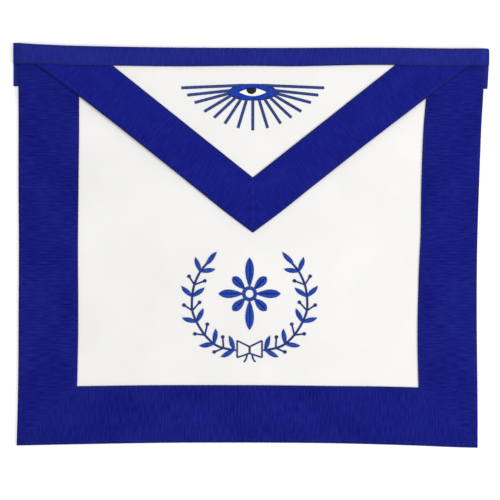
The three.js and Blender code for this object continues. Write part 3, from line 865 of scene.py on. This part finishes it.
def stitch_model(name, width, thick):
    """An arch of thread one unit long along X, from one foot to the other."""
    bm = bmesh.new()
    upright = Matrix.Rotation(math.pi / 2, 4, "Y")
    made = bmesh.ops.create_circle(bm, cap_ends=True, segments=STITCH_SIDES, radius=0.5, matrix=upright)
    ring = made["verts"]
    bmesh.ops.translate(bm, verts=ring, vec=(-0.5, 0, 0))
    for _ in range(STITCH_RINGS):
        edges = [e for e in bm.edges if all(v in ring for v in e.verts)]
        made = bmesh.ops.extrude_edge_only(bm, edges=edges)
        ring = [g for g in made["geom"] if isinstance(g, bmesh.types.BMVert)]
        bmesh.ops.translate(bm, verts=ring, vec=(1 / STITCH_RINGS, 0, 0))
    bmesh.ops.contextual_create(bm, geom=ring)
    dive = bm.verts.layers.float.new("dive")
    for vert in bm.verts:
        vert[dive] = abs(2 * vert.co.x)
        middle = max(1 - (2 * vert.co.x) ** 2, 0)
        slim = lerp(STITCH_FOOT, 1, middle ** 0.5)
        vert.co.y *= width * slim
        vert.co.z = vert.co.z * thick * slim + middle ** STITCH_ARCH
    bmesh.ops.recalc_face_normals(bm, faces=bm.faces[:])
    return new_object(name, new_mesh(name, bm))


def laying_tree(model):
    """The node tree that lays the model stitch on every point."""
    tree = bpy.data.node_groups.new("lay_stitches", "GeometryNodeTree")
    tree.interface.new_socket("Geometry", in_out="INPUT", socket_type="NodeSocketGeometry")
    tree.interface.new_socket("Geometry", in_out="OUTPUT", socket_type="NodeSocketGeometry")
    points = add(tree, "NodeGroupInput").outputs["Geometry"]
    turn, span, high = (
        add(tree, "GeometryNodeInputNamedAttribute", {"Name": name}, data_type="FLOAT").outputs["Attribute"]
        for name in ("turn", "span", "high")
    )
    heading = add(tree, "ShaderNodeCombineXYZ", {"Z": turn}).outputs["Vector"]
    rotation = add(tree, "FunctionNodeEulerToRotation", {"Euler": heading}).outputs["Rotation"]
    size = add(tree, "ShaderNodeCombineXYZ", {"X": span, "Y": 1.0, "Z": high}).outputs["Vector"]
    stitch = add(tree, "GeometryNodeObjectInfo", {"Object": model, "As Instance": True}).outputs["Geometry"]
    laid = add(tree, "GeometryNodeInstanceOnPoints", {
        "Points": points, "Instance": stitch, "Rotation": rotation, "Scale": size,
    }).outputs["Instances"]
    real = add(tree, "GeometryNodeRealizeInstances", {"Geometry": laid}).outputs["Geometry"]
    add(tree, "NodeGroupOutput", {"Geometry": real})
    return tree


def lay(name, spots, model, placing, materials, nodes):
    """Lays one stitch for each spot: (x, y, z, turn, span, height, shade)."""
    bm = bmesh.new()
    columns = [bm.verts.layers.float.new(column) for column in ("turn", "span", "high", "shade")]
    for x, y, z, *values in spots:
        vert = bm.verts.new((x, y, z))
        for column, value in zip(columns, values):
            vert[column] = value
    cloud = new_object(name + "_points", new_mesh(name + "_points", bm))
    cloud.modifiers.new("lay", "NODES").node_group = laying_tree(model)
    bpy.context.view_layer.update()
    laid = bpy.data.meshes.new_from_object(cloud.evaluated_get(bpy.context.evaluated_depsgraph_get()))
    bpy.data.objects.remove(cloud)
    laid.name = name
    laid.materials.clear()
    print(name, len(spots), "stitches")
    return finish_piece(name, laid, placing, materials, nodes)


satin = stitch_model("satin_stitch", width=0.62, thick=0.5)
print("faces in one satin stitch:", len(satin.data.polygons))

# %% [markdown]
# ## Filling a shape with satin
# An embroiderer fills a narrow shape with stitches side by side, each from one edge to the other, and slants
# them in a leaf or a petal. A row is described by its points and its width at each, and the spots for the
# stitches follow from that. A wide petal is filled from a middle vein with two rows, which meet in a fine
# furrow.

# %% Satin rows
PITCH = 0.46
NARROWEST = 0.25
LOWEST_PUFF, FULL_WIDTH = 0.55, 4
PUFF_STRAY, SPAN_STRAY = (0.94, 1.06), (1.02, 1.1)
LEAF_SLANT, PETAL_SLANT = 62, 58
draw = random.Random(11)


def satin_row(points, width, base, height, slant=90, offset=0):
    """Stitches across a line of points. width is a number or a function of the share of the way, slant the
    stitches' lean in degrees, and offset moves each stitch aside by that share of its width."""
    spots, travelled, length = [], 0, sum((b - a).length for a, b in zip(points, points[1:]))
    next_at = PITCH / 2
    for a, b in zip(points, points[1:]):
        step = (b - a).length
        while next_at <= travelled + step:
            share = next_at / length
            wide = width(share) if callable(width) else width
            if wide > NARROWEST:
                run = (b - a) / step
                turn = math.atan2(run.y, run.x) + math.radians(slant)
                lean = Vector((math.cos(turn), math.sin(turn)))
                middle = a + run * (next_at - travelled) + lean * (offset * wide)
                puff = height * lerp(LOWEST_PUFF, 1, min(wide / FULL_WIDTH, 1)) * draw.uniform(*PUFF_STRAY)
                span = wide * draw.uniform(*SPAN_STRAY)
                spots.append((middle.x, middle.y, base, turn, span, puff, draw.random()))
            next_at += PITCH
        travelled += step
    return spots


def lens(width):
    return lambda share: 4 * share * (1 - share) * width


def satin_leaf(start, end, width, base, height, slant=LEAF_SLANT):
    return satin_row([start, end], lens(width / abs(math.sin(math.radians(slant)))), base, height, slant)


def satin_petal(start, end, width, base, height):
    """Two rows of slanted stitches that meet along the petal's middle."""
    half = lens(width / 2 / math.sin(math.radians(PETAL_SLANT)))
    rows = (satin_row([start, end], half, base, height, lean, 0.5) for lean in (PETAL_SLANT, -PETAL_SLANT))
    return sum(rows, [])


def satin_disc(centre, radius, base, height, turn=0.3):
    across = Vector((math.cos(turn), math.sin(turn))) * radius
    return satin_row(
        [centre - across, centre + across],
        lambda share: 2 * radius * math.sqrt(max(1 - (2 * share - 1) ** 2, 0)),
        base, height,
    )


def bezier(a, b, c, steps):
    shares = [i / steps for i in range(steps + 1)]
    return [a * (1 - t) ** 2 + b * (2 * t * (1 - t)) + c * t ** 2 for t in shares]


print("stitches to 10 mm:", round(10 / PITCH))

# %% [markdown]
# ## The wreath
# Each sprig is a stem with pairs of leaves and pairs of berries on short stalks, and the two sprigs mirror
# each other. The stem, the stalks and the berries are worked in the deep blue, and the leaves lie over them
# in the royal blue.

# %% Wreath sprigs
WREATH_REACH, WREATH_RISE, WREATH_DROP, MOTIF_SHIFT = 51.0, 76.5, 92.5, 0.2
STEM_WIDTH, STALK_WIDTH, BERRY_RADIUS = 2.1, 1.5, 1.55
INNER_STALK, OUTER_STALK = 9.8, 8.8
LEAF_LENGTH, LEAF_WIDTH = 13.8, 4.1
MOTIF_BASE, LEAF_BASE, KNOT_BASE, RING_BASE = 0.95, 1.1, 1.05, 1.15
MOTIF_PUFF = 0.75

SPRIG = [
    dict(across=0.235, up=0.005),
    dict(across=0.256, up=0.005, grows="leaf", inner=59, outer=35),
    dict(across=0.45, up=0.029, grows="berry", inner=71, outer=38),
    dict(across=0.604, up=0.073, grows="leaf", inner=59, outer=40),
    dict(across=0.771, up=0.179, grows="berry", inner=52, outer=44),
    dict(across=0.908, up=0.322, grows="leaf", inner=51, outer=44),
    dict(across=0.988, up=0.46, grows="berry", inner=52, outer=46),
    dict(across=0.99, up=0.613, grows="leaf", inner=47, outer=48),
    dict(across=0.953, up=0.757, grows="berry", inner=52, outer=49),
    dict(across=0.855, up=0.903, grows="leaf", inner=47, outer=48),
    dict(across=0.739, up=1),
]
wreath_to_frame = to_frame @ Matrix.Translation((MOTIF_SHIFT, -WREATH_DROP, 0))


def through(nodes, steps):
    """A smooth line through the points, with its heading at each."""
    line = []
    for i in range(len(nodes) - 1):
        a, b = nodes[i], nodes[i + 1]
        before, after = nodes[max(i - 1, 0)], nodes[min(i + 2, len(nodes) - 1)]
        for step in range(steps):
            t = step / steps
            line.append(0.5 * (
                2 * a + (b - before) * t + (2 * before - 5 * a + 4 * b - after) * t ** 2
                + (3 * a - before - 3 * b + after) * t ** 3
            ))
    return line + [nodes[-1]]


def sprig(name, node, side):
    nodes = [Vector((side * WREATH_REACH * row["across"], WREATH_RISE * row["up"])) for row in SPRIG]
    steps = 6
    stem = through(nodes[1:], steps)
    stems = satin_row(stem, STEM_WIDTH, MOTIF_BASE, MOTIF_PUFF, 65)
    stems += satin_row(nodes[:2], STALK_WIDTH, MOTIF_BASE, MOTIF_PUFF)
    leaves = []
    for i, row in enumerate(SPRIG):
        at = max(i - 1, 0) * steps
        run = stem[min(at + 1, len(stem) - 1)] - stem[max(at - 1, 0)]
        heading = math.atan2(run.y, run.x)

        def reach(lean, length):
            return nodes[i] + Vector((math.cos(heading + lean), math.sin(heading + lean))) * length

        if "grows" not in row:
            if i:
                root, point = reach(math.pi, STEM_WIDTH), reach(0, LEAF_LENGTH)
                leaves += satin_leaf(root, point, LEAF_WIDTH, LEAF_BASE, MOTIF_PUFF)
            continue
        for lean, stalk in ((row["inner"], INNER_STALK), (-row["outer"], OUTER_STALK)):
            lean = math.radians(lean * side)
            if row["grows"] == "leaf":
                leaf = (nodes[i], reach(lean, LEAF_LENGTH), LEAF_WIDTH, LEAF_BASE, MOTIF_PUFF)
                leaves += satin_leaf(*leaf, slant=LEAF_SLANT * (1 if lean > 0 else -1))
            else:
                berry = reach(lean, stalk)
                stems += satin_row([nodes[i], berry], STALK_WIDTH, MOTIF_BASE, MOTIF_PUFF * 0.8)
                stems += satin_disc(berry, BERRY_RADIUS, LEAF_BASE, MOTIF_PUFF)
    lay(name + "_stems", stems, satin, wreath_to_frame, [rayon_dark], [node])
    lay(name + "_leaves", leaves, satin, wreath_to_frame, [rayon_blue], [node])


sprig("sprig_left", "wreath_sprig_left", -1)
sprig("sprig_right", "wreath_sprig_right", 1)

# %% [markdown]
# ## The bow and the rosette
# The bow is only an outline: two loops that open away from the knot, and two short tails. The rosette in the
# middle of the wreath has eight petals, long and short in turn, round a ring.

# %% Bow and rosette
BOW_LINE, BOW_LIFT = 1.5, 0.5
ROSETTE_RISE, ROSETTE_LONG, ROSETTE_WIDE, ROSETTE_SHORT = 50.0, 32.0, 27.5, 21.0
PETAL_WIDTH, ROSETTE_RING, ROSETTE_HOLE = 7.4, 6.6, 3.6


def bow():
    wing = WREATH_REACH * SPRIG[0]["across"] - CLEAR
    top, foot, knot = 0.71 * wing, -0.56 * wing, 0.25 * wing
    spots = satin_row([Vector((0, -knot)), Vector((0, knot))], 1.2 * BOW_LINE, KNOT_BASE, MOTIF_PUFF)
    for side in (-1, 1):
        outer = side * (wing - BOW_LINE / 2)
        loop = [Vector((0, knot)), Vector((outer, top)), Vector((outer, foot)), Vector((0, -knot))]
        for a, b in zip(loop, loop[1:]):
            spots += satin_row([a, b], BOW_LINE, MOTIF_BASE, MOTIF_PUFF, 70)
        tail = bezier(
            Vector((side * 0.18 * wing, -knot)), Vector((side * 0.21 * wing, -0.72 * wing)),
            Vector((side * 0.44 * wing, -0.9 * wing)), 6,
        )
        spots += satin_row(tail, BOW_LINE, MOTIF_BASE, MOTIF_PUFF, 70)
    placing = wreath_to_frame @ Matrix.Translation((0, BOW_LIFT, 0))
    lay("bow_stitches", spots, satin, placing, [rayon_dark], ["wreath_bow"])


def rosette():
    spots = []
    for i in range(8):
        turn = math.pi * i / 4
        length = ROSETTE_SHORT if i % 2 else ROSETTE_LONG if i % 4 else ROSETTE_WIDE
        run = Vector((math.cos(turn), math.sin(turn)))
        root = run * (ROSETTE_RING + ROSETTE_HOLE) / 2
        spots += satin_petal(root, run * length, PETAL_WIDTH, MOTIF_BASE, MOTIF_PUFF * 1.15)
    middle = (ROSETTE_RING + ROSETTE_HOLE) / 2
    ring = [Vector((math.cos(a), math.sin(a))) * middle for a in (math.tau * i / 48 for i in range(49))]
    spots += satin_row(ring, ROSETTE_RING - ROSETTE_HOLE, RING_BASE, MOTIF_PUFF)
    placing = wreath_to_frame @ Matrix.Translation((0, ROSETTE_RISE, 0))
    lay("rosette_stitches", spots, satin, placing, [rayon_blue], ["rosette"])


bow()
rosette()

# %% [markdown]
# ## The eye on the flap
# The lids are worked round the opening in satin, and past its corners one stitch spans both. The white is
# filled upright. The pupil lies over it in black, and the upper lid cuts it off. The rays are plain satin
# bars that spread beside and below the eye.

# %% Eye and rays
EYE_RISE, EYE_WIDTH, EYE_HEIGHT = 123.5, 42.0, 14.6
EYE_OPEN_WIDTH, EYE_OPEN_HEIGHT = 24.6, 7.3
PUPIL_RADIUS, PUPIL_RISE, PUPIL_ASIDE, PUPIL_BASE = 4.4, 2.3, -1.2, 1.15
WHITE_BASE, WHITE_PUFF = 0.9, 0.5
LID_PITCH, LID_OVERLAP, LID_CORNER = 0.85 * PITCH, 0.1, 0.12
LID_LEAN, LEAN_FROM, LEAN_TO = 0.9, 7, 12
RAY_REACH, RAY_WIDTH = 62.5, 2.5
RAYS = [
    dict(start=(0.12, 0.098), end=(1, 0.061)), dict(start=(0.29, 0.026), end=(0.92, -0.041)),
    dict(start=(0.29, -0.006), end=(0.816, -0.146)), dict(start=(0.27, -0.026), end=(0.683, -0.272)),
    dict(start=(0.21, -0.045), end=(0.541, -0.355)), dict(start=(0.145, -0.066), end=(0.392, -0.44)),
    dict(start=(0.08, -0.08), end=(0.208, -0.501)), dict(start=(0, -0.08), end=(0, -0.538)),
]
eye_to_frame = flap_to_frame @ Matrix.Translation((0, EYE_RISE, 0))


def half_opening(x):
    return EYE_OPEN_HEIGHT / 2 * max(1 - (2 * x / EYE_OPEN_WIDTH) ** 2, 0)


def upright(x, low, high, base, height, lean=0):
    """One stitch from low to high, at x."""
    return x, (low + high) / 2, base, math.pi / 2 + lean, high - low, height, draw.random()


def lids():
    spots = []
    steps = int(EYE_WIDTH / LID_PITCH)
    for i in range(1, steps):
        x = EYE_WIDTH * (i / steps - 0.5)
        rim = EYE_HEIGHT / 2 * math.sqrt(1 - abs(2 * x / EYE_WIDTH) ** 2.5) + LID_OVERLAP
        lean = LID_LEAN * x / EYE_WIDTH * (1 - smooth(LEAN_FROM, LEAN_TO, abs(x)))
        lip = half_opening(x) - LID_OVERLAP
        if lip < LID_CORNER:
            spots.append(upright(x, -rim, rim, MOTIF_BASE, MOTIF_PUFF))
            continue
        spots.append(upright(x, lip, rim, MOTIF_BASE, MOTIF_PUFF, -lean))
        spots.append(upright(x, -rim, -lip, MOTIF_BASE, MOTIF_PUFF, lean))
    return spots


def rays():
    spots = []
    for ray in RAYS:
        for side in ((-1, 1) if ray["end"][0] else (1,)):
            start, end = (Vector((side * ray[key][0], ray[key][1])) * RAY_REACH for key in ("start", "end"))
            spots += satin_row([start, end], RAY_WIDTH, MOTIF_BASE, MOTIF_PUFF * 0.9)
    return spots


def eye_white():
    spots = []
    for i in range(int(EYE_OPEN_WIDTH / PITCH)):
        x = -EYE_OPEN_WIDTH / 2 + PITCH * (i + 0.5)
        spots.append(upright(x, -half_opening(x), half_opening(x), WHITE_BASE, WHITE_PUFF))
    return spots


def eye_pupil():
    spots = []
    for i in range(1, int(2 * PUPIL_RADIUS / PITCH)):
        away = -PUPIL_RADIUS + PITCH * i
        chord = math.sqrt(max(PUPIL_RADIUS ** 2 - away ** 2, 0))
        x = PUPIL_ASIDE + away
        high = min(PUPIL_RISE + chord, half_opening(x))
        spots.append(upright(x, PUPIL_RISE - chord, high, PUPIL_BASE, MOTIF_PUFF * 0.8))
    return spots


lay("eye_lid_stitches", lids(), satin, eye_to_frame, [rayon_bright], ["eye_with_rays"])
lay("ray_stitches", rays(), satin, eye_to_frame, [rayon_middle], ["eye_with_rays"])
lay("eye_white_stitches", eye_white(), satin, eye_to_frame, [rayon_white], ["eye_white"])
lay("eye_pupil_stitches", eye_pupil(), satin, eye_to_frame, [rayon_black], ["eye_pupil"])

# %% [markdown]
# ## Machine seams
# Every ribbon is sewn down with straight seams close to its edges, in thread a little lighter than itself.
# The stitches are 2.5 mm long with a small gap where the needle went in. On the back the bobbin thread shows.
# The mitres are closed with a fine zigzag over the two cut ends, in a fixed lighter tone of the thread
# that paints a highlight, so it shows as a slightly lighter line.

# %% Seams
SEAM_STEP, SEAM_LENGTH, SEAM_HIGH, SEAM_SUNK = 3.0, 2.5, 0.16, 0.08
EDGE_INSET, FOLD_INSET, BAND_INSET = 1.6, 2.6, 1.8
SEAM_END, LOOK_AHEAD = 4, 0.5
BACK_SUNK, BACK_END = 0.1, 2
ZIGZAG_STEP, ZIGZAG_SPAN, ZIGZAG_LEAN, ZIGZAG_HIGH = 0.8, 1.3, 0.3, 0.2
straight = stitch_model("straight_stitch", width=0.36, thick=0.9)


def seam_spots(point_at, start, end):
    """Stitches along a line. point_at(along) gives x, y and the height of the cloth there."""
    spots = []
    for i in range(int((end - start) / SEAM_STEP)):
        along = start + SEAM_STEP * (i + 0.5)
        x, y, z = point_at(along)
        x2, y2, _ = point_at(along + LOOK_AHEAD)
        turn = math.atan2(y2 - y, x2 - x)
        spots.append((x, y, z - SEAM_SUNK, turn, SEAM_LENGTH, SEAM_HIGH, draw.random()))
    return spots


def mitre_spots(corner, inner, inset, shade):
    """The zigzag along a mitre, from just inside its corner to just before its inner end, in a fixed shade
    that paints a highlight.
    """
    height = SHEET_RISE - seam_sink(0)
    run = inner - corner
    across = math.atan2(run.y, run.x) + math.pi / 2
    spots = []
    for i in range(int((run.length - 2 * inset) / ZIGZAG_STEP)):
        x, y = (corner + run.normalized() * (inset + ZIGZAG_STEP * (i + 0.5))).xy
        turn = across + (ZIGZAG_LEAN if i % 2 else -ZIGZAG_LEAN)
        spots.append((x, y, height + puckers(x, y), turn, ZIGZAG_SPAN, ZIGZAG_HIGH, shade))
    return spots


def border_line(point_at, width_of, at_fold):
    """A seam's line on a border of the body, beside its fold or beside its inner edge."""
    def line(along):
        width = width_of(along)
        inward = FOLD_INSET if at_fold else width - EDGE_INSET
        x, y = point_at(along, inward)
        return x, y, SHEET_RISE + lift(y) + pressed(inward, width, PRESS) + puckers(x, y)

    return line


def band_line(x):
    inward = band_width(x) - BAND_INSET
    y = top_y(x) - inward
    return x, y, band_rise(x) + pressed(inward, band_width(x), BAND_PRESS) + puckers(x, y)


left_lines, right_lines, bottom_lines = (
    [border_line(point_at, width_of, at_fold) for at_fold in (False, True)]
    for point_at, width_of in (
        (left_point, left_width), (right_point, right_width), (bottom_point, bottom_width),
    )
)
BAND_SEAM = (band_line, BAND_SHIFT - BAND_END + SEAM_END, BAND_SHIFT + BAND_END - SEAM_END)


def body_seams():
    spots = []
    for corner, inner in ((lower_left, inner_left), (lower_right, inner_right)):
        spots += mitre_spots(corner, inner, inset=5, shade=0.4)
    top = LOWEST_TOP - BAND_FRONT
    insets = (BOTTOM_RIBBON - 1, SEAM_END)
    for left, right, bottom, inset in zip(left_lines, right_lines, bottom_lines, insets):
        spots += seam_spots(left, lower_left.y + inset, top) + seam_spots(right, lower_right.y + inset, top)
        spots += seam_spots(bottom, lower_left.x + inset, lower_right.x - inset)
    spots += seam_spots(*BAND_SEAM)
    lay("body_seam_stitches", spots, straight, to_frame, [seam_thread], [])


def flap_seams():
    tip, inner = Vector((0, 0)), Vector((0, FLAP_RIBBON * FLAP_NARROW / slope.x))
    # The tip's zigzag takes nearly the thread's lightest tone, as a painted highlight.
    spots = mitre_spots(tip, inner, inset=SEAM_END, shade=0.9)
    for side in (-1, 1):
        for inward, start in ((FLAP_RIBBON - EDGE_INSET, tip_along), (FOLD_INSET, SEAM_END)):
            end = (FLAP_LENGTH - FLAP_TUCK - slope.x * inward) / slope.y

            def line(along):
                x, y = flap_point(side, along, inward)
                return x, y, SHEET_RISE + pressed(inward, FLAP_RIBBON, PRESS) + puckers(x, y)

            spots += seam_spots(line, start, end)
    lay("flap_seam_stitches", spots, straight, flap_to_frame, [seam_thread], [])


def back_seams():
    """The bobbin thread on the back: of the inner seams on the leatherette, of the others on the ribbons'
    back legs. It is laid face up on a cloth that is turned over, and then turned back with it."""
    spots = []
    top = LOWEST_BACK - BACK_END
    seams = (
        (left_lines[0], inner_left.y, top), (right_lines[0], inner_right.y, top),
        (bottom_lines[0], inner_left.x, inner_right.x),
        (left_lines[1], lower_left.y + SEAM_END, top), (right_lines[1], lower_right.y + SEAM_END, top),
        (bottom_lines[1], lower_left.x + SEAM_END, lower_right.x - SEAM_END),
        BAND_SEAM,
    )
    for line, start, end in seams:
        for x, y, _, turn, *values in seam_spots(line, start, end):
            level = 0 if line is band_line else lift(y)
            spots.append((x, -y, -level - BACK_SUNK, -turn, *values))
    turned_over = to_frame @ Matrix.Rotation(math.pi, 4, "X")
    lay("back_seam_stitches", spots, straight, turned_over, [seam_thread], [])


body_seams()
flap_seams()
back_seams()
for model in (satin, straight):
    bpy.data.objects.remove(model)

# %% [markdown]
# ## The widths the ribbons were cut at
# A folded ribbon's cut width is the width of its two legs added up.


side_cut, bottom_cut, flap_cut = HEM + SIDE_RIBBON, HEM + BOTTOM_RIBBON, FLAP_HEM + FLAP_RIBBON
print("ribbons cut", side_cut, bottom_cut, flap_cut, "mm wide")

# %% [markdown]
# ## Floor, light and camera
# The photograph is taken from straight above on plain white, with light from all round and from a wide lamp
# overhead. A low lamp on the right adds the faint broad shadow along the flap's left edge and the bright line
# along its right one. A long lens far away keeps the outline free of perspective.

# %% Floor, light and camera
FLOOR_REACH, FLOOR_DROP = 4.0, 0.3 * MM
lowered = Matrix.Translation((0, 0, -FLOOR_DROP))
floor_bm = bmesh.new()
bmesh.ops.create_grid(floor_bm, x_segments=1, y_segments=1, size=FLOOR_REACH, matrix=lowered)
floor = new_object("floor", new_mesh("floor", floor_bm))
table, tree, shader = new_material("opal_acrylic_light_table")
feed(tree, shader, {
    "Base Color": linear("#fbfbfb"), "Roughness": 0.9, "Specular IOR Level": 0.1,
    "Emission Color": linear("#ffffff"), "Emission Strength": 0.16,
})
floor.data.materials.append(table)
floor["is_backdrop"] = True


def softbox(name, place, size, power):
    light = bpy.data.lights.new(name, "AREA")
    light.shape, light.size, light.energy = "SQUARE", size, power
    made = new_object(name, light)
    made.location = place
    made.rotation_euler = (-Vector(place)).to_track_quat("-Z", "Y").to_euler()


softbox("overhead_light", place=(0, 0.5, 2.6), size=2.2, power=27)
softbox("side_light", place=(1.7, -0.5, 1.3), size=0.9, power=23)

bpy.context.scene.view_settings.view_transform = "Standard"
world = bpy.data.worlds.new("studio")
world.use_nodes = True
feed(world.node_tree, world.node_tree.nodes["Background"], {"Color": linear("#ffffff"), "Strength": 0.5})
bpy.context.scene.world = world

PHOTO_SPAN = 440 * MM
PHOTO_MIDDLE = (-1.13 * MM, -4.06 * MM)
LENS, SENSOR = 180.0, 36.0
camera_data = bpy.data.cameras.new("camera")
camera_data.lens, camera_data.sensor_width = LENS, SENSOR
camera_data.clip_end = 20
camera = new_object("camera", camera_data)
camera.location = (*PHOTO_MIDDLE, PHOTO_SPAN * LENS / SENSOR)
bpy.context.scene.camera = camera
print("camera", round(camera.location.z, 2), "m above the table")

# %% [markdown]
# ## The two boxes
# The boxes of the solid model and of the dressed one are both printed. The dressed
# model may not outgrow the solid one.

# %% Sizes and finish
low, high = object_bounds()
boxes = {"cad": [list(cad_low), list(cad_high)], "visual": [list(low), list(high)]}
print("solid box:", boxes["cad"], "dressed box:", boxes["visual"])
